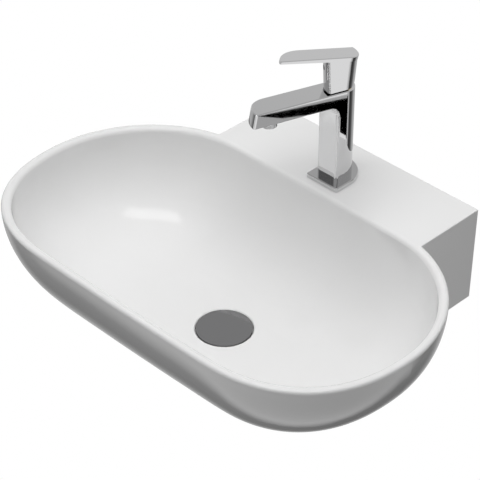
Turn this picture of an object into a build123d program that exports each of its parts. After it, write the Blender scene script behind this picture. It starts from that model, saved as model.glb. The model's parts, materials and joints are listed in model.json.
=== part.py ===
from build123d import *
import math
import os

# Wall-hung basin: a pill-shaped ceramic bowl with a box-shaped ledge behind it, a single-lever tap on the
# ledge and a click waste in the floor. Lengths are in millimetres.
# Frame: the wall is the plane y = 0 and the basin reaches into -Y. The mirror plane of the basin is x = 0.
# z = 0 is the height of the two wall bolts.

# Basin, plan
LENGTH = 600.0
FRONT_DEPTH = 168.0
BACK_DEPTH = 170.5
END_REACH = 164.5
FRONT_FULLNESS = 2.34
BACK_FULLNESS = 1.95
FRONT_BOW = 5.0
BOWL_TO_WALL = 270.0
RIM_THICKNESS = 12.0
RIM_OUTER_ROUND = 4.0
RIM_INNER_ROUND = 5.5

# Basin, heights: the rim top lies this far above the wall bolts, and depths are measured down from the rim
RIM_HEIGHT = 60.0
OUTER_DEPTH = 144.0
OUTER_SIDE_SWEEP = 128.0
OUTER_END_SWEEP = 190.0
OUTER_SIDE_CURVE = 1.9
OUTER_END_CURVE = 2.1
INNER_DEPTH = 129.4
INNER_SIDE_SWEEP = 112.0
INNER_END_SWEEP = 175.0
INNER_SIDE_CURVE = 2.0
INNER_END_CURVE = 2.3

# Ledge
LEDGE_WIDTH = 341.0
LEDGE_DRAFT = 2.5
LEDGE_HEIGHT = 134.0
LEDGE_FRONT = 205.0
LEDGE_WALL = 11.0
DECK_THICKNESS = 14.0
LEDGE_CORNER = 1.5
LEDGE_EDGE = 1.2

# Wall fixing
WALL_HOLE_SPACING = 280.0
WALL_HOLE_RADIUS = 11.0
WALL_BOLT_HOLE = 6.3
BUSH_CLEARANCE = 0.1
BUSH_FLANGE = 15.0
BUSH_FLANGE_THICKNESS = 2.5

# Waste place in the bowl
WASTE_OFFSET = 5.0
SEAT_DEPTH = 136.7
SEAT_RADIUS = 36.0
SEAT_ROUND = 2.5
WASTE_HOLE = 23.0
BOSS_RADIUS = 34.0
BOSS_DEPTH = 152.0

# Tap place and tilt: the top of the body and the axis of the cartridge lean back
TAP_TO_WALL = 67.0
TAP_HOLE = 17.5
HEAD_TILT = 13.0
HEAD_HEIGHT = 130.4

# Tap body: a sweep is the radius that carries one side of a plan over to the tip on the other side
COLUMN_WIDTH = 33.0
COLUMN_FRONT = 21.0
COLUMN_BACK = 30.0
COLUMN_SWEEP = 36.0
COLUMN_CORNER = 4.0
PLATE_THICKNESS = 6.0
SPOUT_REACH = 165.0
SPOUT_ROOT = 7.0
SPOUT_THICKNESS = 18.0
SPOUT_SWEEP = 45.0
SPOUT_CORNER = 2.0
SPOUT_UNDER_ROUND = 16.0
TOP_EDGE_CHAMFER = 1.0
OUTLET_FROM_WALL = 190.0
OUTLET_BOTTOM = 130.0
CHANNEL_WIDTH = 18.0
CHANNEL_HEIGHT = 8.0
CHANNEL_END = 134.0
SPIGOT_RADIUS = 14.8
SPIGOT_LENGTH = 4.0
INLET_THREAD = 4.5
INLET_THREAD_LENGTH = 16.0
INLET_SPACING = 11.0
INLET_BEHIND = 4.0
INLET_BORE = 2.6
OUTLET_GROOVE = 1.2

# Base plate and gasket
PLATE_WIDTH = 51.4
PLATE_FRONT = 30.0
PLATE_BACK = 33.0
PLATE_SWEEP = 38.0
PLATE_CORNER = 3.0
PLATE_EDGE = 1.6
PLATE_LIFT = 0.3
GASKET_THICKNESS = 1.5
GASKET_MARGIN = 2.5
GASKET_CLEARANCE = 0.15

# Cartridge, measured along its tilted axis from the top of the body
CARTRIDGE_RADIUS = 12.4
CARTRIDGE_BORE = 12.6
SEAT_LEVEL = -28.0
BASE_HEIGHT = 4.0
SEAL_STAND = 0.5
SEAL_SECTION = 0.7
SEAL_RING = 3.6
PORT_RADIUS = 2.4
PORT_BACK = 3.1
OUTLET_SLOT_WIDTH = 6.0
OUTLET_SLOT_NEAR = 5.0
OUTLET_SLOT_FAR = 8.0
BASE_NOTCH_FLOOR = 1.5
MIXING_RECESS = 7.0
WINDOW_WIDTH = 8.0
DISC_THICKNESS = 2.5
FIXED_DISC_RADIUS = 10.6
MOVING_DISC_RADIUS = 7.4
DISC_GAP = 0.03
CARRIER_THICKNESS = 3.2
HOUSING_WALL = 1.5
HOUSING_TOP = -6.0
HOUSING_LID = 2.0
ROTOR_FLANGE = 9.4
ROTOR_FOOT = -14.5
ROTOR_NECK = 6.0
ROTOR_TOP = -2.0
SLOT_FRONT = 3.8
SLOT_BACK = 5.8
PIVOT_LEVEL = -11.5
PIN_RADIUS = 1.25
PIN_LENGTH = 17.0
PIN_CLEARANCE = 0.05
BALL_LEVEL = -17.0
BALL_RADIUS = 1.8
BALL_NECK = 1.4
SOCKET_CLEARANCE = 0.2
STEM_RADIUS = 2.5
STEM_FOOT = -15.0
STEM_SQUARE = 6.5
STEM_SQUARE_FROM = 12.0
STEM_TOP = 36.0
NUT_RADIUS = 13.2
NUT_OPENING = 9.0
NUT_TOP = -0.2
FIT_GAP = 0.08

# Lever
LEVER_WIDTH = 31.0
BLOCK_GAP = 2.0
BLOCK_TOP_LEVEL = 38.0
BLOCK_FRONT_FOOT = 37.5
BLOCK_FRONT_TOP = 48.0
BLOCK_BACK_FOOT = 31.0
BLOCK_BACK_TOP = 27.0
BLOCK_SWEEP = 38.0
BLOCK_CORNER = 2.5
HANDLE_BACK_SWEEP = 40.0
LEVER_RISE = 8.4
LEVER_LENGTH = 141.0
LEVER_BACK = 28.0
LEVER_UNDER = 37.7
LEVER_THICKNESS = 6.0
LEVER_THINNING = 0.9
LEVER_SWEEP = 90.0
LEVER_CORNER = 1.5
LEVER_EDGE = 1.2
POCKET_WALL = 3.0
POCKET_TOP = 20.0
LIFT_LIMIT = 18.0
RELIEF_START = 2.5
SOCKET_FIT = 0.05
SCREW_RADIUS = 2.5
SCREW_LENGTH = 8.0
SCREW_LEVEL = 31.0
SCREW_KEY = 2.5
PLUG_RADIUS = 3.2
PLUG_LENGTH = 4.0
PLUG_RECESS = 0.6

# Aerator
AERATOR_RADIUS = 8.9
AERATOR_SKIRT = 9.8
AERATOR_THREAD_LENGTH = 6.0
AERATOR_BORE = 7.6
AERATOR_BOSS = 11.0
BOSS_HEIGHT = 6.5
AERATOR_WASHER = 1.2
AERATOR_WASHER_BORE = 6.0
AERATOR_EDGE = 0.8
INSERT_HEIGHT = 6.0
INSERT_RECESS = 1.0
INSERT_PITCH = 2.6
INSERT_HOLE = 1.8
INSERT_ROWS = 2

# Tap fixing below the deck
STUD_RADIUS = 4.0
STUD_AHEAD = 9.5
STUD_LENGTH = 60.0
STUD_GRIP = 12.0
HORSESHOE_RADIUS = 24.0
HORSESHOE_SLOT = 10.5
HORSESHOE_CLEARANCE = 0.3
RUBBER_THICKNESS = 2.5
STEEL_THICKNESS = 2.0
FIXING_NUT_ACROSS = 13.0
FIXING_NUT_HEIGHT = 8.0

# Waste
WASTE_THREAD = 20.955
WASTE_BORE = 17.5
WASTE_LENGTH = 65.0
FLANGE_RADIUS = 34.5
FLANGE_THICKNESS = 2.0
FLANGE_SEAL = 1.5
CAP_RADIUS = 35.0
CAP_THICKNESS = 3.0
CAP_DOME = 0.8
PLUG_SEAL_OUTER = 31.0
PLUG_SEAL_INNER = 26.0
PLUG_SEAL_THICKNESS = 1.5
SPIDER_DROP = 12.0
SPIDER_HEIGHT = 4.0
SPIDER_ARM = 3.0
SPIDER_HUB = 8.5
BARREL_RADIUS = 6.0
BARREL_FLANGE = 7.6
BARREL_FLANGE_HEIGHT = 1.5
BARREL_BORE = 4.4
BARREL_LENGTH = 32.0
BARREL_ABOVE = 4.0
BARREL_FLOOR = 2.0
CLICK_CAP_HEIGHT = 2.5
ROD_RADIUS = 3.0
ROD_FOOT = 4.2
ROD_FOOT_HEIGHT = 3.0
SPRING_WIRE = 0.35
SPRING_RADIUS = 3.5
SPRING_LENGTH = 14.0
SPRING_TURNS = 6
SPRING_END_GAP = 0.1
WASHER_RADIUS = 31.0
LOWER_WASHER_THICKNESS = 4.0
FRICTION_WASHER_THICKNESS = 1.5
BACK_NUT_ACROSS = 52.0
BACK_NUT_HEIGHT = 10.0
THREAD_RELIEF = 1.2
THREAD_RELIEF_DEPTH = 0.6
THREAD_CLEARANCE = 0.1

BOWL_Y = -BOWL_TO_WALL
TAP_Y = -TAP_TO_WALL
WASTE_Y = BOWL_Y + WASTE_OFFSET
STUD_Y = TAP_Y - STUD_AHEAD
INLET_Y = TAP_Y + INLET_BEHIND
OUTLET_Y = -OUTLET_FROM_WALL
HEAD = Pos(0, TAP_Y, RIM_HEIGHT + HEAD_HEIGHT) * Rot(-HEAD_TILT, 0, 0)
LEVER_FRAME = HEAD * Pos(0, 0, LEVER_UNDER) * Rot(-LEVER_RISE, 0, 0)
DECK_UNDER = RIM_HEIGHT - DECK_THICKNESS
BOWL_FLOOR = RIM_HEIGHT - INNER_DEPTH
SEAT_Z = RIM_HEIGHT - SEAT_DEPTH
FLANGE_TOP = SEAT_Z + FLANGE_SEAL + FLANGE_THICKNESS
CAP_UNDER = FLANGE_TOP + PLUG_SEAL_THICKNESS
SPIDER_TOP = FLANGE_TOP - SPIDER_DROP
BARREL_TOP = SPIDER_TOP + BARREL_ABOVE
BARREL_FOOT = BARREL_TOP - BARREL_LENGTH
BACK_NUT_TOP = RIM_HEIGHT - BOSS_DEPTH - LOWER_WASHER_THICKNESS - FRICTION_WASHER_THICKNESS
BACK_NUT_FOOT = BACK_NUT_TOP - BACK_NUT_HEIGHT
SPRING_FOOT = BARREL_FOOT + BARREL_FLOOR
BASE_FOOT = SEAT_LEVEL + SEAL_STAND
FIXED_DISC_FOOT = SEAT_LEVEL + BASE_HEIGHT
MOVING_DISC_FOOT = FIXED_DISC_FOOT + DISC_THICKNESS + DISC_GAP
CARRIER_FOOT = MOVING_DISC_FOOT + DISC_THICKNESS
PLAN_STEPS = 9
EDGE_STEPS = 3
SECTIONS = 11
LIP_SECTIONS = 5


def cylinder(radius, low, high, x=0.0, y=0.0):
    """An upright cylinder between two heights."""
    return Pos(x, y, (low + high) / 2) * Cylinder(radius, high - low)


def ring(outer, inner, low, high, x=0.0, y=0.0):
    """An upright tube between two heights, bored right through."""
    return cylinder(outer, low, high, x, y) - cylinder(inner, low - 1, high + 1, x, y)


def block(x_low, x_high, y_low, y_high, z_low, z_high):
    """A box between two corners."""
    centre = Pos((x_low + x_high) / 2, (y_low + y_high) / 2, (z_low + z_high) / 2)
    return centre * Box(x_high - x_low, y_high - y_low, z_high - z_low)


def hexagon(across, low, high, x=0.0, y=0.0):
    """A hexagonal prism between two heights, given by its width across flats."""
    outline = RegularPolygon(across / 2, 6, major_radius=False)
    return Pos(x, y, low) * extrude(outline, high - low)


def inset(sweep, curve, depth, full_depth):
    """How far the wall has come in at a depth, on a superellipse."""
    return sweep * (1 - max(0.0, 1 - (depth / full_depth) ** curve) ** (1 / curve))


def plan_points(half_length, front, back, reach):
    """Points round the bowl's plan: superellipse ends, a bowed front and a straight back."""
    points = []
    for side, half, fullness, bow in ((1, back, BACK_FULLNESS, 0.0), (-1, front, FRONT_FULLNESS, FRONT_BOW)):
        quarter = []
        for step in range(PLAN_STEPS):
            angle = math.pi / 2 * step / (PLAN_STEPS - 1)
            x = half_length - reach + reach * math.cos(angle) ** (2 / fullness)
            y = half * math.sin(angle) ** (2 / fullness)
            quarter.append((x, y - bow * (x / half_length) ** 2 * y / half))
        for step in range(1, EDGE_STEPS + 1):
            x = (half_length - reach) * (1 - step / EDGE_STEPS)
            quarter.append((x, half - bow * (x / half_length) ** 2))
        mirrored = [(-x, y) for x, y in reversed(quarter[:-1])]
        half_turn = [(x, side * y) for x, y in quarter + mirrored]
        points += half_turn[:-1] if side > 0 else list(reversed(half_turn))[:-1]
    return points


def bowl_section(depth, rim, sweeps, curves, full_depth):
    """The bowl's plan at a depth, as a face; rim is how far inside the outer edge the wall starts."""
    end = rim + inset(sweeps[0], curves[0], depth, full_depth)
    side = rim + inset(sweeps[1], curves[1], depth, full_depth)
    front = FRONT_DEPTH - side
    back = BACK_DEPTH - side
    reach = END_REACH * front / FRONT_DEPTH
    outline = Spline(plan_points(LENGTH / 2 - end, front, back, reach), periodic=True)
    return Pos(0, BOWL_Y, RIM_HEIGHT - depth) * make_face(outline)


def bowl_form(rim, lip, sweeps, curves, full_depth):
    """A bowl-shaped solid from the rim's plane to its flat floor; lip is the round at its upper edge."""
    upper = []
    for step in range(LIP_SECTIONS):
        angle = math.pi / 2 * step / (LIP_SECTIONS - 1)
        depth = abs(lip) * (1 - math.sin(angle))
        upper.append(bowl_section(depth, rim + lip * (1 - math.cos(angle)), sweeps, curves, full_depth))
    lower = []
    first = math.asin(abs(lip) / full_depth)
    for step in range(SECTIONS):
        angle = first + (math.pi / 2 - first) * step / (SECTIONS - 1)
        lower.append(bowl_section(full_depth * math.sin(angle), rim, sweeps, curves, full_depth))
    return loft(upper) + loft(lower)


def make_ledge():
    """The ledge: a box with drafted sides, hollow and open below."""
    half = LEDGE_WIDTH / 2
    low_half = half - LEDGE_DRAFT
    low = RIM_HEIGHT - LEDGE_HEIGHT
    end = Plane.XZ * Polygon((-low_half, low), (low_half, low), (half, RIM_HEIGHT), (-half, RIM_HEIGHT), align=None)
    ledge = extrude(end, LEDGE_FRONT)
    uprights = [e for e in ledge.edges() if e.center().Y > -1 and e.bounding_box().size.Z > LEDGE_HEIGHT / 2]
    ledge = fillet(uprights, LEDGE_CORNER)
    front_edge = -LEDGE_FRONT + 1
    across = [e for e in ledge.edges() if e.bounding_box().size.Z < 0.01 and e.center().Y > front_edge]
    ledge = fillet(across, LEDGE_EDGE)
    inner = low_half - LEDGE_WALL
    hollow = block(-inner, inner, -LEDGE_FRONT - 5, -LEDGE_WALL, low - 1, DECK_UNDER)
    return ledge - hollow


def make_basin():
    """The ceramic casting."""
    outer = bowl_form(0.0, RIM_OUTER_ROUND, (OUTER_END_SWEEP, OUTER_SIDE_SWEEP),
                      (OUTER_END_CURVE, OUTER_SIDE_CURVE), OUTER_DEPTH)
    inner = bowl_form(RIM_THICKNESS, -RIM_INNER_ROUND, (INNER_END_SWEEP, INNER_SIDE_SWEEP),
                      (INNER_END_CURVE, INNER_SIDE_CURVE), INNER_DEPTH)
    outer += cylinder(BOSS_RADIUS, RIM_HEIGHT - BOSS_DEPTH, SEAT_Z - 1, 0, WASTE_Y)
    basin = outer + make_ledge() - inner
    basin -= cylinder(SEAT_RADIUS, SEAT_Z, BOWL_FLOOR + 10, 0, WASTE_Y)
    lip = [e for e in basin.edges().filter_by(GeomType.CIRCLE) if abs(e.radius - SEAT_RADIUS) < 0.01
           and abs(e.center().Z - BOWL_FLOOR) < 0.01]
    basin = fillet(lip, SEAT_ROUND)
    basin -= cylinder(WASTE_HOLE, RIM_HEIGHT - BOSS_DEPTH - 1, SEAT_Z + 1, 0, WASTE_Y)
    basin -= cylinder(TAP_HOLE, DECK_UNDER - 1, RIM_HEIGHT + 1, 0, TAP_Y)
    for side in (-1, 1):
        hole = Pos(side * WALL_HOLE_SPACING / 2, -LEDGE_WALL / 2, 0) * Rot(90, 0, 0)
        basin -= hole * Cylinder(WALL_HOLE_RADIUS, LEDGE_WALL + 2)
    return basin


def make_wall_bushes():
    """The two flanged bushes in the wall holes."""
    bushes = []
    for side in (-1, 1):
        place = Pos(side * WALL_HOLE_SPACING / 2, 0, 0) * Rot(90, 0, 0)
        sleeve = cylinder(WALL_HOLE_RADIUS - BUSH_CLEARANCE, 0, LEDGE_WALL)
        flange = cylinder(BUSH_FLANGE, LEDGE_WALL, LEDGE_WALL + BUSH_FLANGE_THICKNESS)
        bore = cylinder(WALL_BOLT_HOLE, -1, LEDGE_WALL + BUSH_FLANGE_THICKNESS + 1)
        bushes.append(place * (sleeve + flange - bore))
    return Compound(children=bushes)


def sweep_length(sweep, width):
    """How far a sweep runs along a plan: a quarter round, or a wider arc that ends in the opposite side."""
    return sweep if sweep <= width else math.sqrt(sweep ** 2 - (sweep - width) ** 2)


def swept_edges(start, heading, sweep, width):
    """The arc from a side of a plan, and the straight end that follows a quarter round."""
    turn = 90.0 if sweep <= width else math.degrees(math.acos((sweep - width) / sweep))
    edges = [JernArc(start, (0, heading), sweep, turn)]
    if sweep < width:
        end = start[1] + heading * sweep
        edges.append(Line((start[0] - heading * sweep, end), (start[0] - heading * width, end)))
    return edges


def leaf_plan(width, front, back, front_sweep, back_sweep, corner, wall=0.0):
    """A plan swept at its front left and its back right, with tips at the other two corners; a wall leaves
    the same plan that much smaller all round."""
    inner = width - 2 * wall
    half = inner / 2
    front_length = sweep_length(front_sweep - wall, inner)
    back_length = sweep_length(back_sweep - wall, inner)
    ahead = -front + sweep_length(front_sweep, width) - front_length
    behind = back - sweep_length(back_sweep, width) + back_length
    edges = [Line((half, ahead), (half, behind - back_length))]
    edges += swept_edges((half, behind - back_length), 1, back_sweep - wall, inner)
    edges.append(Line((-half, behind), (-half, ahead + front_length)))
    edges += swept_edges((-half, ahead + front_length), -1, front_sweep - wall, inner)
    outline = make_face(edges)
    tips = [v for v in outline.vertices() if abs(v.X - half) + abs(v.Y - ahead) < 0.01
            or abs(v.X + half) + abs(v.Y - behind) < 0.01]
    return fillet(tips, corner - wall) if corner > wall else outline


def make_tap_body():
    """The cast column and spout, with the cartridge bore and the water passages."""
    foot = RIM_HEIGHT + PLATE_THICKNESS
    tall = HEAD_HEIGHT + COLUMN_WIDTH - PLATE_THICKNESS
    square = Pos(0, (COLUMN_BACK - COLUMN_FRONT) / 2) * Rectangle(COLUMN_WIDTH, COLUMN_FRONT + COLUMN_BACK)
    square = fillet(square.vertices().group_by(Axis.Y)[0], COLUMN_CORNER)
    column = Pos(0, TAP_Y, foot) * extrude(square, tall)
    spout_plan = leaf_plan(COLUMN_WIDTH, SPOUT_REACH, -SPOUT_ROOT, SPOUT_SWEEP, SPOUT_CORNER, SPOUT_CORNER)
    spout = HEAD * Pos(0, 0, -SPOUT_THICKNESS) * extrude(spout_plan, SPOUT_THICKNESS)
    body = column + spout - HEAD * block(-60, 60, -SPOUT_REACH - 10, 60, 0, 80)
    under = [e for e in body.edges() if e.geom_type == GeomType.LINE and e.bounding_box().size.X > 10
             and abs(e.center().Y - (TAP_Y - COLUMN_FRONT)) < 0.5 and e.center().Z > foot + 10]
    body = fillet(under, SPOUT_UNDER_ROUND)
    column_plan = leaf_plan(COLUMN_WIDTH, COLUMN_FRONT, COLUMN_BACK, COLUMN_CORNER, COLUMN_SWEEP, COLUMN_CORNER)
    sweep_start = COLUMN_BACK - sweep_length(COLUMN_SWEEP, COLUMN_WIDTH)
    beyond = Pos(0, sweep_start + COLUMN_WIDTH) * Rectangle(2 * COLUMN_WIDTH, 2 * COLUMN_WIDTH) - column_plan
    body -= Pos(0, TAP_Y, foot - 1) * extrude(beyond, tall + 2)
    top =[e for e in body.edges() if abs((HEAD.inverse() * Pos(e.center())).position.Z) < 0.01]
    body = chamfer(top, TOP_EDGE_CHAMFER)
    boss_foot = RIM_HEIGHT + OUTLET_BOTTOM + BOSS_HEIGHT
    body += cylinder(AERATOR_BOSS, boss_foot, boss_foot + BOSS_HEIGHT + 4, 0, OUTLET_Y)
    body += cylinder(SPIGOT_RADIUS, RIM_HEIGHT - SPIGOT_LENGTH, foot, 0, TAP_Y)
    body -= HEAD * cylinder(CARTRIDGE_BORE, SEAT_LEVEL, 1)
    body -= HEAD * cylinder(NUT_RADIUS + FIT_GAP, HOUSING_TOP, 1)
    half = CHANNEL_WIDTH / 2
    middle = -SPOUT_THICKNESS / 2
    body -= HEAD * block(-half, half, -CHANNEL_END, -CARTRIDGE_RADIUS + 1,
                         middle - CHANNEL_HEIGHT / 2, middle + CHANNEL_HEIGHT / 2)
    body -= HEAD * block(-half / 2, half / 2, -CARTRIDGE_BORE - OUTLET_GROOVE, -CARTRIDGE_RADIUS + 2,
                         FIXED_DISC_FOOT, middle)
    washer_top = boss_foot + AERATOR_THREAD_LENGTH + AERATOR_WASHER
    body -= cylinder(AERATOR_RADIUS + FIT_GAP, boss_foot - 1, washer_top, 0, OUTLET_Y)
    body -= cylinder(AERATOR_WASHER_BORE, boss_foot, washer_top + 5, 0, OUTLET_Y)
    for side in (-1, 1):
        x = side * INLET_SPACING / 2
        thread_top = RIM_HEIGHT - SPIGOT_LENGTH + INLET_THREAD_LENGTH
        body -= cylinder(INLET_THREAD, RIM_HEIGHT - SPIGOT_LENGTH - 1, thread_top, x, INLET_Y)
        start = Vector(x, INLET_Y, thread_top - 1)
        end = (HEAD * Pos(x, PORT_BACK, SEAT_LEVEL + 0.5)).position
        bore = Plane(origin=start, z_dir=end - start) * Circle(INLET_BORE)
        body -= extrude(bore, (end - start).length)
    body -= cylinder(STUD_RADIUS + THREAD_CLEARANCE, RIM_HEIGHT - SPIGOT_LENGTH - 1,
                     RIM_HEIGHT - SPIGOT_LENGTH + STUD_GRIP, 0, STUD_Y)
    return body


def plate_plan(margin):
    """The base plate's plan, or the same plan smaller by a margin all round."""
    return leaf_plan(PLATE_WIDTH, PLATE_FRONT, PLATE_BACK, PLATE_CORNER, PLATE_SWEEP, PLATE_CORNER, margin)


def make_base_plate():
    """The chromed plate between the column and the ledge, with a pocket for its gasket."""
    plate = Pos(0, TAP_Y, RIM_HEIGHT + PLATE_LIFT) * extrude(plate_plan(0.0), PLATE_THICKNESS - PLATE_LIFT)
    plate = fillet(plate.faces().sort_by(Axis.Z)[-1].edges(), PLATE_EDGE)
    pocket = plate_plan(GASKET_MARGIN - GASKET_CLEARANCE)
    plate -= Pos(0, TAP_Y, RIM_HEIGHT) * extrude(pocket, GASKET_THICKNESS)
    return plate - cylinder(SPIGOT_RADIUS + FIT_GAP, RIM_HEIGHT, RIM_HEIGHT + 2 * PLATE_THICKNESS, 0, TAP_Y)


def make_base_gasket():
    """The soft seal under the base plate."""
    gasket = Pos(0, TAP_Y, RIM_HEIGHT) * extrude(plate_plan(GASKET_MARGIN), GASKET_THICKNESS)
    return gasket - cylinder(TAP_HOLE, RIM_HEIGHT - 1, RIM_HEIGHT + 2 * GASKET_THICKNESS, 0, TAP_Y)


def ports(low, high):
    """The two inlet ports of the cartridge, between two levels on its axis."""
    return [cylinder(PORT_RADIUS, low, high, side * INLET_SPACING / 2, PORT_BACK) for side in (-1, 1)]


def make_cartridge_base():
    """The plastic foot of the cartridge, with inlet ports, seal grooves and a front outlet."""
    base = cylinder(CARTRIDGE_RADIUS, BASE_FOOT, FIXED_DISC_FOOT)
    for port in ports(BASE_FOOT - 1, FIXED_DISC_FOOT + 1):
        base -= port
    for side in (-1, 1):
        base -= ring(SEAL_RING + SEAL_SECTION, SEAL_RING - SEAL_SECTION, BASE_FOOT - 1,
                     BASE_FOOT + 2 * SEAL_SECTION - SEAL_STAND, side * INLET_SPACING / 2, PORT_BACK)
    half = OUTLET_SLOT_WIDTH / 2
    base -= block(-half, half, -CARTRIDGE_RADIUS - 1, -OUTLET_SLOT_NEAR,
                  BASE_FOOT + BASE_NOTCH_FLOOR, FIXED_DISC_FOOT + 1)
    return HEAD * base


def make_cartridge_seals():
    """The two rubber rings under the cartridge's foot."""
    rings = []
    for side in (-1, 1):
        place = Pos(side * INLET_SPACING / 2, PORT_BACK, SEAT_LEVEL + SEAL_SECTION)
        rings.append(HEAD * place * Torus(SEAL_RING, SEAL_SECTION - 0.01))
    return Compound(children=rings)


def make_fixed_disc():
    """The ceramic disc that stays still, with two inlet ports and an outlet port."""
    disc = cylinder(FIXED_DISC_RADIUS, FIXED_DISC_FOOT, FIXED_DISC_FOOT + DISC_THICKNESS)
    for port in ports(FIXED_DISC_FOOT - 1, FIXED_DISC_FOOT + DISC_THICKNESS + 1):
        disc -= port
    half = OUTLET_SLOT_WIDTH / 2
    disc -= block(-half, half, -OUTLET_SLOT_FAR, -OUTLET_SLOT_NEAR,
                  FIXED_DISC_FOOT - 1, FIXED_DISC_FOOT + DISC_THICKNESS + 1)
    return HEAD * disc


def make_moving_disc():
    """The ceramic disc that slides and turns, with its mixing recess."""
    disc = cylinder(MOVING_DISC_RADIUS, MOVING_DISC_FOOT, CARRIER_FOOT)
    half = OUTLET_SLOT_WIDTH / 2
    disc -= block(-half, half, -MIXING_RECESS / 2, MIXING_RECESS / 2,
                  MOVING_DISC_FOOT - 1, MOVING_DISC_FOOT + DISC_THICKNESS / 2)
    return HEAD * disc


def make_disc_carrier():
    """The plastic plate on the moving disc, with the socket for the stem's ball."""
    carrier = cylinder(MOVING_DISC_RADIUS, CARRIER_FOOT, CARRIER_FOOT + CARRIER_THICKNESS)
    socket = BALL_RADIUS + SOCKET_CLEARANCE
    return HEAD * (carrier - cylinder(socket, CARRIER_FOOT - 1, CARRIER_FOOT + CARRIER_THICKNESS + 1))


def make_cartridge_housing():
    """The plastic shell of the cartridge, open below, with a hole in its lid and a front window."""
    shell = cylinder(CARTRIDGE_RADIUS, FIXED_DISC_FOOT, HOUSING_TOP)
    shell -= cylinder(CARTRIDGE_RADIUS - HOUSING_WALL, FIXED_DISC_FOOT - 1, HOUSING_TOP - HOUSING_LID)
    shell -= cylinder(ROTOR_NECK + FIT_GAP, FIXED_DISC_FOOT, HOUSING_TOP + 1)
    window_top = FIXED_DISC_FOOT + 2 * DISC_THICKNESS
    shell -= block(-WINDOW_WIDTH / 2, WINDOW_WIDTH / 2, -CARTRIDGE_RADIUS - 1, -ROTOR_FLANGE,
                   FIXED_DISC_FOOT + DISC_THICKNESS, window_top)
    return HEAD * shell


def make_cartridge_nut():
    """The ring nut that holds the cartridge down."""
    nut = ring(NUT_RADIUS, NUT_OPENING, HOUSING_TOP, NUT_TOP)
    return HEAD * nut


def make_rotor():
    """The turning piece that carries the pivot pin of the stem."""
    rotor = cylinder(ROTOR_FLANGE, ROTOR_FOOT, HOUSING_TOP - HOUSING_LID - FIT_GAP)
    rotor += cylinder(ROTOR_NECK, ROTOR_FOOT, ROTOR_TOP)
    slot = STEM_RADIUS + FIT_GAP
    rotor -= block(-slot, slot, -SLOT_FRONT, SLOT_BACK, ROTOR_FOOT - 1, ROTOR_TOP + 1)
    across = Pos(0, 0, PIVOT_LEVEL) * Rot(0, 90, 0)
    return HEAD * (rotor - across * Cylinder(PIN_RADIUS + PIN_CLEARANCE / 2, 3 * ROTOR_FLANGE))


def make_pivot_pin():
    """The steel pin through the rotor and the stem."""
    return HEAD * Pos(0, 0, PIVOT_LEVEL) * Rot(0, 90, 0) * Cylinder(PIN_RADIUS, PIN_LENGTH)


def make_stem():
    """The steel stem: a ball below, a round shank, and a square top for the lever."""
    stem = Pos(0, 0, BALL_LEVEL) * Sphere(BALL_RADIUS)
    stem += cylinder(BALL_NECK, BALL_LEVEL, STEM_FOOT + 1)
    stem += cylinder(STEM_RADIUS, STEM_FOOT, STEM_SQUARE_FROM + 1)
    half = STEM_SQUARE / 2
    stem += block(-half, half, -half, half, STEM_SQUARE_FROM, STEM_TOP)
    across = Pos(0, 0, PIVOT_LEVEL) * Rot(0, 90, 0)
    return HEAD * (stem - across * Cylinder(PIN_RADIUS + PIN_CLEARANCE, 3 * STEM_RADIUS))


def block_front(level):
    """How far ahead of the axis the front of the handle block lies at a level."""
    lean = (BLOCK_FRONT_TOP - BLOCK_FRONT_FOOT) / (BLOCK_TOP_LEVEL - BLOCK_GAP)
    return BLOCK_FRONT_FOOT + lean * (level - BLOCK_GAP)


def block_back(level):
    """How far behind the axis the back tip of the handle block lies at a level."""
    lean = (BLOCK_BACK_TOP - BLOCK_BACK_FOOT) / (BLOCK_TOP_LEVEL - BLOCK_GAP)
    return BLOCK_BACK_FOOT + lean * (level - BLOCK_GAP)


def block_plan(front_level, back_level, wall):
    """The handle block's plan, with its front and its back taken at their own levels."""
    return leaf_plan(LEVER_WIDTH, block_front(front_level), block_back(back_level),
                     BLOCK_SWEEP, HANDLE_BACK_SWEEP, BLOCK_CORNER, wall)


def make_lever():
    """The handle block and the lever plate in one casting, hollow over the cartridge."""
    top_level = BLOCK_TOP_LEVEL + 2 * LEVER_THICKNESS
    foot = block_plan(BLOCK_GAP, BLOCK_GAP, 0.0)
    head = block_plan(top_level, top_level, 0.0)
    handle = HEAD * loft([Pos(0, 0, BLOCK_GAP) * foot, Pos(0, 0, top_level) * head], ruled=True)
    handle -= LEVER_FRAME * block(-40, 40, -LEVER_LENGTH, 60, LEVER_THICKNESS / 3, 60)
    plate = extrude(leaf_plan(LEVER_WIDTH, LEVER_LENGTH, LEVER_BACK, LEVER_SWEEP, HANDLE_BACK_SWEEP,
                              LEVER_CORNER), LEVER_THICKNESS)
    over = Pos(0, LEVER_BACK, LEVER_THICKNESS) * Rot(LEVER_THINNING, 0, 0)
    plate -= over * block(-40, 40, -LEVER_LENGTH - 60, 20, 0, 20)
    crown = plate.faces().sort_by(Axis.Z)[-1].edges()
    handle += LEVER_FRAME * fillet(crown, LEVER_EDGE)
    relief = HEAD * Pos(0, RELIEF_START, BLOCK_GAP) * Rot(LIFT_LIMIT, 0, 0)
    handle -= relief * block(-40, 40, 0, 60, -20, 0)
    handle -= HEAD * extrude(block_plan(BLOCK_GAP, POCKET_TOP, POCKET_WALL), POCKET_TOP)
    half = STEM_SQUARE / 2 + SOCKET_FIT
    handle -= HEAD * block(-half, half, -half, half, POCKET_TOP - 1, STEM_TOP + SOCKET_FIT)
    handle -= lever_bore(SCREW_RADIUS + THREAD_CLEARANCE, 0, 2 * BLOCK_FRONT_TOP)
    return handle - lever_bore(PLUG_RADIUS + FIT_GAP, plug_front() - PLUG_RECESS - PLUG_LENGTH - 0.5,
                               2 * BLOCK_FRONT_TOP)


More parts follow.
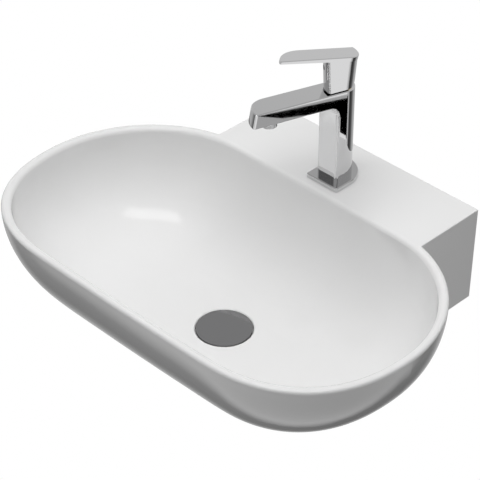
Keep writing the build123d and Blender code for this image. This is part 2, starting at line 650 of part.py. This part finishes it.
def lever_bore(radius, start, end):
    """A cylinder ahead of the stem, from start to end, at the height of the lever's screw."""
    return HEAD * Pos(0, -(start + end) / 2, SCREW_LEVEL) * Rot(90, 0, 0) * Cylinder(radius, end - start)


def plug_front():
    """How far ahead of the axis the block's swept front lies at the left edge of the plug."""
    reach = sweep_length(BLOCK_SWEEP, LEVER_WIDTH / 2 - PLUG_RADIUS)
    return block_front(SCREW_LEVEL) - sweep_length(BLOCK_SWEEP, LEVER_WIDTH) + reach


def make_lever_screw():
    """The socket screw that holds the lever on the stem."""
    start = STEM_SQUARE / 2 + SOCKET_FIT
    screw = lever_bore(SCREW_RADIUS, start, start + SCREW_LENGTH)
    key_place = HEAD * Pos(0, -start - SCREW_LENGTH, SCREW_LEVEL) * Rot(-90, 0, 0)
    return screw - key_place * hexagon(SCREW_KEY, -1, SCREW_LENGTH / 2)


def make_screw_plug():
    """The plug that covers the lever's screw hole."""
    front = plug_front() - PLUG_RECESS
    plug = lever_bore(PLUG_RADIUS, front - PLUG_LENGTH, front)
    return plug


def make_aerator_shell():
    """The threaded shell of the aerator."""
    foot = RIM_HEIGHT + OUTLET_BOTTOM
    shoulder = foot + BOSS_HEIGHT
    shell = cylinder(AERATOR_SKIRT, foot, shoulder, 0, OUTLET_Y)
    shell = fillet(shell.edges().group_by(Axis.Z)[0], AERATOR_EDGE)
    shell += cylinder(AERATOR_RADIUS, shoulder, shoulder + AERATOR_THREAD_LENGTH, 0, OUTLET_Y)
    bore_top = shoulder + AERATOR_THREAD_LENGTH + 1
    return shell - cylinder(AERATOR_BORE, foot - 1, bore_top, 0, OUTLET_Y)


def make_aerator_insert():
    """The plastic flow straightener in the aerator."""
    foot = RIM_HEIGHT + OUTLET_BOTTOM + INSERT_RECESS
    insert = cylinder(AERATOR_BORE - FIT_GAP, foot, foot + INSERT_HEIGHT, 0, OUTLET_Y)
    half = INSERT_HOLE / 2
    rows = range(-INSERT_ROWS, INSERT_ROWS + 1)
    for x, y in [(INSERT_PITCH * column, OUTLET_Y + INSERT_PITCH * row) for column in rows for row in rows
                 if abs(column) + abs(row) < 2 * INSERT_ROWS]:
        insert -= block(x - half, x + half, y - half, y + half, foot - 1, foot + INSERT_HEIGHT + 1)
    return insert


def make_aerator_washer():
    """The rubber washer above the aerator."""
    foot = RIM_HEIGHT + OUTLET_BOTTOM + BOSS_HEIGHT + AERATOR_THREAD_LENGTH
    return ring(AERATOR_RADIUS, AERATOR_WASHER_BORE, foot, foot + AERATOR_WASHER, 0, OUTLET_Y)


def make_fixing_stud():
    """The stud that holds the tap on the ledge."""
    top = RIM_HEIGHT - SPIGOT_LENGTH + STUD_GRIP
    return cylinder(STUD_RADIUS, top - STUD_LENGTH, top, 0, STUD_Y)


def horseshoe(high, thickness):
    """A clamping plate below the deck, open at the back for the hoses."""
    low = high - thickness
    plate = cylinder(HORSESHOE_RADIUS, low, high, 0, TAP_Y)
    plate -= cylinder(HORSESHOE_SLOT, low - 1, high + 1, 0, INLET_Y)
    plate -= block(-HORSESHOE_SLOT, HORSESHOE_SLOT, INLET_Y, INLET_Y + 2 * HORSESHOE_RADIUS,
                   low - 1, high + 1)
    return plate - cylinder(STUD_RADIUS + HORSESHOE_CLEARANCE, low - 1, high + 1, 0, STUD_Y)


def make_horseshoe_rubber():
    """The soft plate against the underside of the deck."""
    return horseshoe(DECK_UNDER, RUBBER_THICKNESS)


def make_horseshoe_plate():
    """The steel plate under the soft one."""
    return horseshoe(DECK_UNDER - RUBBER_THICKNESS, STEEL_THICKNESS)


def make_fixing_nut():
    """The nut on the tap's stud."""
    high = DECK_UNDER - RUBBER_THICKNESS - STEEL_THICKNESS
    nut = hexagon(FIXING_NUT_ACROSS, high - FIXING_NUT_HEIGHT, high, 0, STUD_Y)
    return nut - cylinder(STUD_RADIUS + THREAD_CLEARANCE, high - FIXING_NUT_HEIGHT - 1, high + 1, 0, STUD_Y)


def make_waste_body():
    """The flange and the threaded tube, with the spider that holds the click barrel."""
    flange_foot = FLANGE_TOP - FLANGE_THICKNESS
    body = cylinder(FLANGE_RADIUS, flange_foot, FLANGE_TOP, 0, WASTE_Y)
    body = fillet(body.edges().group_by(Axis.Z)[-1], FLANGE_THICKNESS / 2)
    body += cylinder(WASTE_THREAD, FLANGE_TOP - WASTE_LENGTH, flange_foot, 0, WASTE_Y)
    body -= ring(WASTE_THREAD + 1, WASTE_THREAD - THREAD_RELIEF_DEPTH,
                 BACK_NUT_FOOT - THREAD_RELIEF, BACK_NUT_FOOT, 0, WASTE_Y)
    body -= cylinder(WASTE_BORE, FLANGE_TOP - WASTE_LENGTH - 1, FLANGE_TOP + 1, 0, WASTE_Y)
    low = SPIDER_TOP - SPIDER_HEIGHT
    reach = (WASTE_BORE + WASTE_THREAD) / 2
    half = SPIDER_ARM / 2
    body += cylinder(SPIDER_HUB, low, SPIDER_TOP, 0, WASTE_Y)
    body += block(-reach, reach, WASTE_Y - half, WASTE_Y + half, low, SPIDER_TOP)
    body += block(-half, half, WASTE_Y - reach, WASTE_Y + reach, low, SPIDER_TOP)
    return body - cylinder(BARREL_RADIUS + THREAD_CLEARANCE, low - 1, SPIDER_TOP + 1, 0, WASTE_Y)


def make_flange_seal():
    """The soft ring between the flange and its seat in the ceramic."""
    return ring(FLANGE_RADIUS - 1, WASTE_THREAD + THREAD_CLEARANCE, SEAT_Z, SEAT_Z + FLANGE_SEAL, 0, WASTE_Y)


def make_plug_cap():
    """The domed cap of the plug."""
    high = CAP_UNDER + CAP_THICKNESS
    curvature = (CAP_RADIUS ** 2 + CAP_DOME ** 2) / (2 * CAP_DOME)
    cap = cylinder(CAP_RADIUS, CAP_UNDER, high, 0, WASTE_Y)
    return cap & (Pos(0, WASTE_Y, high - curvature) * Sphere(curvature))


def make_plug_seal():
    """The rubber ring under the plug's cap."""
    return ring(PLUG_SEAL_OUTER, PLUG_SEAL_INNER, FLANGE_TOP, CAP_UNDER, 0, WASTE_Y)


def make_plug_stem():
    """The rod below the cap, with the foot that the spring lifts."""
    foot = SPRING_FOOT + SPRING_LENGTH
    rod = cylinder(ROD_RADIUS, foot, CAP_UNDER, 0, WASTE_Y)
    return rod + cylinder(ROD_FOOT, foot, foot + ROD_FOOT_HEIGHT, 0, WASTE_Y)


def make_click_barrel():
    """The barrel of the click mechanism, hung in the spider."""
    barrel = cylinder(BARREL_RADIUS, BARREL_FOOT, BARREL_TOP, 0, WASTE_Y)
    barrel += cylinder(BARREL_FLANGE, SPIDER_TOP, SPIDER_TOP + BARREL_FLANGE_HEIGHT, 0, WASTE_Y)
    return barrel - cylinder(BARREL_BORE, SPRING_FOOT, BARREL_TOP + 1, 0, WASTE_Y)


def make_click_cap():
    """The guide for the rod on top of the barrel."""
    return ring(BARREL_RADIUS, ROD_RADIUS + FIT_GAP, BARREL_TOP, BARREL_TOP + CLICK_CAP_HEIGHT, 0, WASTE_Y)


def make_click_spring():
    """The spring below the rod."""
    end = SPRING_WIRE + SPRING_END_GAP
    length = SPRING_LENGTH - 2 * end
    path = Helix(length / SPRING_TURNS, length, SPRING_RADIUS)
    wire = (path ^ 0) * Circle(SPRING_WIRE)
    spring = sweep(wire, path, transition=Transition.RIGHT)
    return Pos(0, WASTE_Y, SPRING_FOOT + end) * spring


def make_lower_washer():
    """The rubber washer under the ceramic."""
    high = RIM_HEIGHT - BOSS_DEPTH
    return ring(WASHER_RADIUS, WASTE_THREAD + THREAD_CLEARANCE, high - LOWER_WASHER_THICKNESS, high, 0, WASTE_Y)


def make_friction_washer():
    """The plastic washer between the rubber and the nut."""
    return ring(WASHER_RADIUS - 1, WASTE_THREAD + THREAD_CLEARANCE,
                BACK_NUT_TOP, BACK_NUT_TOP + FRICTION_WASHER_THICKNESS, 0, WASTE_Y)


def make_back_nut():
    """The large nut on the waste's thread."""
    nut = hexagon(BACK_NUT_ACROSS, BACK_NUT_FOOT, BACK_NUT_TOP, 0, WASTE_Y)
    bore = WASTE_THREAD + THREAD_CLEARANCE
    return nut - cylinder(bore, BACK_NUT_FOOT - 1, BACK_NUT_TOP + 1, 0, WASTE_Y)


PARTS = {
    "basin": make_basin,
    "wall_bushes": make_wall_bushes,
    "tap_body": make_tap_body,
    "base_plate": make_base_plate,
    "base_gasket": make_base_gasket,
    "cartridge_base": make_cartridge_base,
    "cartridge_seals": make_cartridge_seals,
    "fixed_disc": make_fixed_disc,
    "moving_disc": make_moving_disc,
    "disc_carrier": make_disc_carrier,
    "cartridge_housing": make_cartridge_housing,
    "cartridge_nut": make_cartridge_nut,
    "rotor": make_rotor,
    "pivot_pin": make_pivot_pin,
    "stem": make_stem,
    "lever": make_lever,
    "lever_screw": make_lever_screw,
    "screw_plug": make_screw_plug,
    "aerator_shell": make_aerator_shell,
    "aerator_insert": make_aerator_insert,
    "aerator_washer": make_aerator_washer,
    "fixing_stud": make_fixing_stud,
    "horseshoe_rubber": make_horseshoe_rubber,
    "horseshoe_plate": make_horseshoe_plate,
    "fixing_nut": make_fixing_nut,
    "waste_body": make_waste_body,
    "flange_seal": make_flange_seal,
    "plug_cap": make_plug_cap,
    "plug_seal": make_plug_seal,
    "plug_stem": make_plug_stem,
    "click_barrel": make_click_barrel,
    "click_cap": make_click_cap,
    "click_spring": make_click_spring,
    "lower_washer": make_lower_washer,
    "friction_washer": make_friction_washer,
    "back_nut": make_back_nut,
}

os.makedirs("parts", exist_ok=True)
for name, make in PARTS.items():
    export_step(make(), f"parts/{name}.step")
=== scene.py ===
import json
import math

import bpy
from mathutils import Matrix, Vector

# Wall-hung basin with a single-lever tap and a click waste. Lengths are in metres.
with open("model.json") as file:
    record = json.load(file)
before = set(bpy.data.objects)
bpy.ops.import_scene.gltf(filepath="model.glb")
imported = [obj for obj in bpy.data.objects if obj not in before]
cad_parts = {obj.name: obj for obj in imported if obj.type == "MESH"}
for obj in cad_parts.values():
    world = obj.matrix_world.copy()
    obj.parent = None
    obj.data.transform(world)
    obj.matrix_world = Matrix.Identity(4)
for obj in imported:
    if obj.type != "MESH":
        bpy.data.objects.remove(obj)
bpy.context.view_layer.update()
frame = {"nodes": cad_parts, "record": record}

# Camera, seen from the front right and above. Its place is given by an aim point and two angles.
CAMERA_AZIMUTH = math.radians(45.07)
CAMERA_ELEVATION = math.radians(36.24)
CAMERA_DISTANCE = 2.31901
CAMERA_RIGHT = 0.02291
CAMERA_UP = 0.00461
CAMERA_AIM = Vector((0.0, -0.27016, 0.060))
SENSOR_WIDTH = 36.0
LENS = 147.27

# Floor, as the camera sees it
FLOOR_DROP = 0.79
FLOOR_SIZE = 24.0
FLOOR_WHITE = 1.0

# Lights, in watts and metres. Reflections don't see them.
OVERHEAD_POWER = 28.0
OVERHEAD_SIZE = 1.8
OVERHEAD_HEIGHT = 1.7
OVERHEAD_Y = -0.25
FILL_POWER = 4.0
FILL_SIZE = 1.5
FILL_PLACE = (-0.3, -2.5, 0.1)
FILL_AIM = (0.0, -0.30, 0.0)

# Surroundings, as a share of white: the soft light from all round, then what reflections see.
# The sky goes from the horizon's grey to the zenith's between two heights of the ray's direction.
# The floor's greys go by how far the ray's direction points to the shaded side.
DOME = 0.22
HORIZON_REFLECTED = 0.68
ZENITH_REFLECTED = 0.47
SKY_FROM = 0.05
SKY_TO = 0.45
FLOOR_BELOW = -0.20
SHADED_SIDE = (-0.707, 0.707, 0.0)
FLOOR_SHADES = [(0.08, 1.0), (0.28, 0.03), (0.48, 0.10), (0.66, 0.50)]

# Cards to the right of the tap, as corners in y and z on one plane. Only reflections see them.
RIGHT_PLANE = 0.10
CARD_TIP = (-0.142, 0.1500)
CARD_LINE_END = (0.045, 0.0975)
DARK_CARD_FOOT = [(0.045, 0.030), (0.020, 0.048), (0.005, 0.062), (0.001, 0.088), (-0.016, 0.098),
                  (-0.054, 0.112), (-0.097, 0.127)]
GREY_STRIP = 0.006
GREY_FOOT = [(-0.054, 0.085), (-0.165, 0.110), (-0.165, 0.150)]
GREY_CARD = 0.48

# A dim card to the left of the tap, in y and z, and a bright one above the bowl, in x and y
LEFT_PLANE = -0.07
LEFT_CARD = [(-0.215, 0.105), (-0.140, 0.105), (-0.140, 0.172), (-0.215, 0.172)]
LEFT_CARD_GREY = 0.16
HIGH_CARD = [(-0.05, -1.05), (-0.35, -0.75), (0.40, 0.00), (0.70, -0.30)]
HIGH_CARD_LEVEL = 1.7
HIGHLIGHT = 2.2

# Finishes
TAP_GREY = 0.66
# Painted shade: the drain cap's chrome is a darker copy of the tap's, for the cap sunk in its recess.
DRAIN_CAP_SHADED_GREY = 0.36
NOISE_LOW = 0.3
NOISE_HIGH = 0.7
TINT_FROM = 0.35
TINT_TO = 0.65


def camera():
    """The camera at the photograph's angle."""
    a, e = CAMERA_AZIMUTH, CAMERA_ELEVATION
    right = Vector((math.cos(a), math.sin(a), 0))
    up = Vector((-math.sin(a) * math.sin(e), math.cos(a) * math.sin(e), math.cos(e)))
    back = right.cross(up)
    place = CAMERA_AIM + CAMERA_RIGHT * right + CAMERA_UP * up + CAMERA_DISTANCE * back
    data = bpy.data.cameras.new("camera")
    data.sensor_width = SENSOR_WIDTH
    data.lens = LENS
    eye = bpy.data.objects.new("camera", data)
    turn = Matrix((right, up, back)).transposed().to_4x4()
    eye.matrix_world = Matrix.Translation(place) @ turn
    bpy.context.scene.collection.objects.link(eye)
    bpy.context.scene.camera = eye


def material(name, colour, roughness, metallic=0.0):
    """A principled material, its node tree and its shader."""
    made = bpy.data.materials.new(name)
    made.use_nodes = True
    shader = made.node_tree.nodes["Principled BSDF"]
    shader.inputs["Base Color"].default_value = (*colour, 1)
    shader.inputs["Roughness"].default_value = roughness
    shader.inputs["Metallic"].default_value = metallic
    return made, made.node_tree, shader


def noise(tree, scale, detail=3.0, stretch=(1, 1, 1)):
    """A noise texture in the object's own coordinates."""
    place = tree.nodes.new("ShaderNodeTexCoord")
    spread = tree.nodes.new("ShaderNodeMapping")
    spread.inputs["Scale"].default_value = stretch
    texture = tree.nodes.new("ShaderNodeTexNoise")
    texture.inputs["Scale"].default_value = scale
    texture.inputs["Detail"].default_value = detail
    tree.links.new(place.outputs["Object"], spread.inputs["Vector"])
    tree.links.new(spread.outputs["Vector"], texture.inputs["Vector"])
    return texture.outputs["Fac"]


def spread_value(tree, source, low, high):
    """Maps a texture onto a range."""
    node = tree.nodes.new("ShaderNodeMapRange")
    node.inputs["From Min"].default_value = NOISE_LOW
    node.inputs["From Max"].default_value = NOISE_HIGH
    node.inputs["To Min"].default_value = low
    node.inputs["To Max"].default_value = high
    tree.links.new(source, node.inputs["Value"])
    return node.outputs["Result"]


def tint(tree, source, low, high):
    """Mixes two colours by a texture."""
    ramp = tree.nodes.new("ShaderNodeValToRGB")
    ramp.color_ramp.elements[0].position = TINT_FROM
    ramp.color_ramp.elements[1].position = TINT_TO
    ramp.color_ramp.elements[0].color = (*low, 1)
    ramp.color_ramp.elements[1].color = (*high, 1)
    tree.links.new(source, ramp.inputs["Fac"])
    return ramp.outputs["Color"]


def bump(tree, shader, source, strength, distance):
    """Raises the surface by a texture."""
    node = tree.nodes.new("ShaderNodeBump")
    node.inputs["Strength"].default_value = strength
    node.inputs["Distance"].default_value = distance
    tree.links.new(source, node.inputs["Height"])
    tree.links.new(node.outputs["Normal"], shader.inputs["Normal"])


def glaze():
    """Glossy white glaze: faintly uneven in tone, with the slight ripple of fired glass."""
    made, tree, shader = material("white_glaze", (0.86, 0.86, 0.86), 0.10)
    shader.inputs["Coat Weight"].default_value = 0.35
    shader.inputs["Coat Roughness"].default_value = 0.04
    tone = tint(tree, noise(tree, 5.0, 2.0), (0.850, 0.850, 0.848), (0.868, 0.868, 0.868))
    tree.links.new(tone, shader.inputs["Base Color"])
    tree.links.new(spread_value(tree, noise(tree, 30.0), 0.08, 0.13), shader.inputs["Roughness"])
    bump(tree, shader, noise(tree, 22.0, 1.0), 0.06, 0.0006)
    return made


def chrome(name, grey):
    """Polished chrome with faint haze."""
    made, tree, shader = material(name, (grey, grey, grey + 0.005), 0.04, 1.0)
    tree.links.new(spread_value(tree, noise(tree, 60.0, 4.0), 0.025, 0.065), shader.inputs["Roughness"])
    bump(tree, shader, noise(tree, 45.0, 1.0), 0.03, 0.0003)
    return made


def metal(name, colour, dark, roughness, stretch):
    """Worked metal with fine tool marks along one direction."""
    made, tree, shader = material(name, colour, roughness, 1.0)
    marks = noise(tree, 500.0, 2.0, stretch)
    tree.links.new(tint(tree, noise(tree, 60.0), dark, colour), shader.inputs["Base Color"])
    tree.links.new(spread_value(tree, marks, roughness * 0.75, roughness * 1.3), shader.inputs["Roughness"])
    bump(tree, shader, marks, 0.25, 0.0001)
    return made


def moulded(name, colour, dark, roughness, grain):
    """Plastic or rubber with a fine moulded grain."""
    made, tree, shader = material(name, colour, roughness)
    texture = noise(tree, grain)
    tree.links.new(tint(tree, noise(tree, 40.0), dark, colour), shader.inputs["Base Color"])
    haze = spread_value(tree, texture, roughness * 0.85, roughness * 1.15)
    tree.links.new(haze, shader.inputs["Roughness"])
    bump(tree, shader, texture, 0.2, 0.0001)
    return made


def finishes():
    """One material for each material slot of the record."""
    return {
        "glaze": glaze(),
        "chrome": chrome("polished_chrome", TAP_GREY),
        "steel": metal("plain_steel", (0.58, 0.58, 0.59), (0.48, 0.48, 0.50), 0.32, (1, 1, 0.05)),
        "brass": metal("turned_brass", (0.78, 0.60, 0.30), (0.66, 0.49, 0.23), 0.28, (0.1, 0.1, 1)),
        "rubber": moulded("black_rubber", (0.035, 0.035, 0.037), (0.022, 0.022, 0.024), 0.72, 900.0),
        "grey_plastic": moulded("grey_plastic", (0.20, 0.21, 0.22), (0.16, 0.17, 0.18), 0.45, 1200.0),
        "white_plastic": moulded("white_plastic", (0.80, 0.80, 0.78), (0.74, 0.74, 0.72), 0.42, 1200.0),
        "disc_ceramic": moulded("lapped_ceramic", (0.86, 0.83, 0.76), (0.80, 0.77, 0.70), 0.22, 1500.0),
    }


def dress_nodes():
    """Gives every carried-over node its finish; the drain cap's darker chrome is painted shade."""
    finish = finishes()
    slots = {part["node"]: part["material_slot"] for part in frame["record"]["subparts"]}
    for name, piece in frame["nodes"].items():
        piece.data.materials.clear()
        piece.data.materials.append(finish[slots[name]])
    cap = frame["nodes"]["plug_cap"]
    # Painted shade: a darker copy of the chrome stands for the shade in the cap's recess.
    cap.data.materials[0] = chrome("shaded_chrome", DRAIN_CAP_SHADED_GREY)


def emitter(name, strength, one_sided):
    """A material that only shines, from both sides or from its front alone."""
    made = bpy.data.materials.new(name)
    made.use_nodes = True
    tree = made.node_tree
    tree.nodes.clear()
    shine = tree.nodes.new("ShaderNodeEmission")
    shine.inputs["Strength"].default_value = strength
    out = tree.nodes.new("ShaderNodeOutputMaterial")
    if not one_sided:
        tree.links.new(shine.outputs["Emission"], out.inputs["Surface"])
        return made
    side = tree.nodes.new("ShaderNodeNewGeometry")
    clear = tree.nodes.new("ShaderNodeBsdfTransparent")
    choice = tree.nodes.new("ShaderNodeMixShader")
    tree.links.new(side.outputs["Backfacing"], choice.inputs["Fac"])
    tree.links.new(shine.outputs["Emission"], choice.inputs[1])
    tree.links.new(clear.outputs["BSDF"], choice.inputs[2])
    tree.links.new(choice.outputs["Shader"], out.inputs["Surface"])
    return made


def sheet(name, corners, finish):
    """A flat piece of the stage."""
    mesh = bpy.data.meshes.new(name)
    mesh.from_pydata(corners, [], [tuple(range(len(corners)))])
    mesh.materials.append(finish)
    made = bpy.data.objects.new(name, mesh)
    bpy.context.scene.collection.objects.link(made)
    return made


def card(name, corners, strength):
    """A flat card that only reflections see, from its front alone."""
    made = sheet(name, corners, emitter(name, strength, True))
    made.visible_camera = False
    made.visible_diffuse = False
    made.visible_shadow = False
    made.visible_transmission = False


def side_card(name, plane, outline, strength):
    """A card on a plane beside the tap."""
    card(name, [(plane, y, z) for y, z in outline], strength)


def cards():
    """What the chrome and the glaze reflect: cards round the tap and one above the bowl."""
    strip_end = (CARD_LINE_END[0], CARD_LINE_END[1] + GREY_STRIP)
    side_card("dark_card", RIGHT_PLANE, [CARD_TIP, CARD_LINE_END, *DARK_CARD_FOOT], 0.0)
    side_card("grey_strip", RIGHT_PLANE, [CARD_TIP, strip_end, CARD_LINE_END], GREY_CARD)
    side_card("grey_card", RIGHT_PLANE, [CARD_TIP, *DARK_CARD_FOOT[:-3:-1], *GREY_FOOT], GREY_CARD)
    side_card("left_card", LEFT_PLANE, LEFT_CARD, LEFT_CARD_GREY)
    card("high_card", [(x, y, HIGH_CARD_LEVEL) for x, y in HIGH_CARD], HIGHLIGHT)


def choose(tree, factor, low, high):
    """Mixes two numbers, each a value or a socket."""
    node = tree.nodes.new("ShaderNodeMix")
    tree.links.new(factor, node.inputs["Factor"])
    for value, name in ((low, "A"), (high, "B")):
        if isinstance(value, float):
            node.inputs[name].default_value = value
        else:
            tree.links.new(value, node.inputs[name])
    return node.outputs["Result"]


def surroundings():
    """White for the camera, a dim dome for soft light, and a sky and a floor for reflections."""
    world = bpy.data.worlds.new("studio")
    world.use_nodes = True
    tree = world.node_tree
    rays = tree.nodes.new("ShaderNodeLightPath")
    place = tree.nodes.new("ShaderNodeTexCoord")
    split = tree.nodes.new("ShaderNodeSeparateXYZ")
    tree.links.new(place.outputs["Generated"], split.inputs["Vector"])
    rise = tree.nodes.new("ShaderNodeMapRange")
    rise.inputs["From Min"].default_value = SKY_FROM
    rise.inputs["From Max"].default_value = SKY_TO
    rise.inputs["To Min"].default_value = HORIZON_REFLECTED
    rise.inputs["To Max"].default_value = ZENITH_REFLECTED
    tree.links.new(split.outputs["Z"], rise.inputs["Value"])
    across = tree.nodes.new("ShaderNodeVectorMath")
    across.operation = "DOT_PRODUCT"
    across.inputs[1].default_value = SHADED_SIDE
    tree.links.new(place.outputs["Generated"], across.inputs[0])
    fall = tree.nodes.new("ShaderNodeValToRGB")
    shades = fall.color_ramp.elements
    while len(shades) < len(FLOOR_SHADES):
        shades.new(0.5)
    for shade, (position, grey) in zip(shades, FLOOR_SHADES):
        shade.position = position
        shade.color = (grey, grey, grey, 1)
    tree.links.new(across.outputs["Value"], fall.inputs["Fac"])
    above = tree.nodes.new("ShaderNodeMath")
    above.operation = "GREATER_THAN"
    above.inputs[1].default_value = FLOOR_BELOW
    tree.links.new(split.outputs["Z"], above.inputs[0])
    studio = choose(tree, above.outputs["Value"], fall.outputs["Color"], rise.outputs["Result"])
    reflected = choose(tree, rays.outputs["Is Glossy Ray"], DOME, studio)
    seen = choose(tree, rays.outputs["Is Camera Ray"], reflected, FLOOR_WHITE)
    tree.links.new(seen, tree.nodes["Background"].inputs["Strength"])
    tree.nodes["Background"].inputs["Color"].default_value = (1, 1, 1, 1)
    bpy.context.scene.world = world


def area(name, place, aim, size, power):
    """A soft square light that reflections don't see."""
    data = bpy.data.lights.new(name, "AREA")
    data.size = size
    data.energy = power
    light = bpy.data.objects.new(name, data)
    light.visible_glossy = False
    light.location = place
    light.rotation_euler = (Vector(aim) - Vector(place)).to_track_quat("-Z", "Y").to_euler()
    bpy.context.scene.collection.objects.link(light)


def stage():
    """The floor, the light and the view."""
    half = FLOOR_SIZE / 2
    corners = [(-half, -half), (half, -half), (half, half), (-half, half)]
    level = [(x, y, -FLOOR_DROP) for x, y in corners]
    floor = sheet("floor", level, emitter("pale_floor", FLOOR_WHITE, False))
    floor.visible_diffuse = False
    floor.visible_glossy = False
    surroundings()
    overhead = (0.0, OVERHEAD_Y, OVERHEAD_HEIGHT)
    area("overhead", overhead, (0.0, OVERHEAD_Y, 0.0), OVERHEAD_SIZE, OVERHEAD_POWER)
    area("front_fill", FILL_PLACE, FILL_AIM, FILL_SIZE, FILL_POWER)
    bpy.context.scene.view_settings.view_transform = "Standard"


camera()
stage()
cards()
dress_nodes()
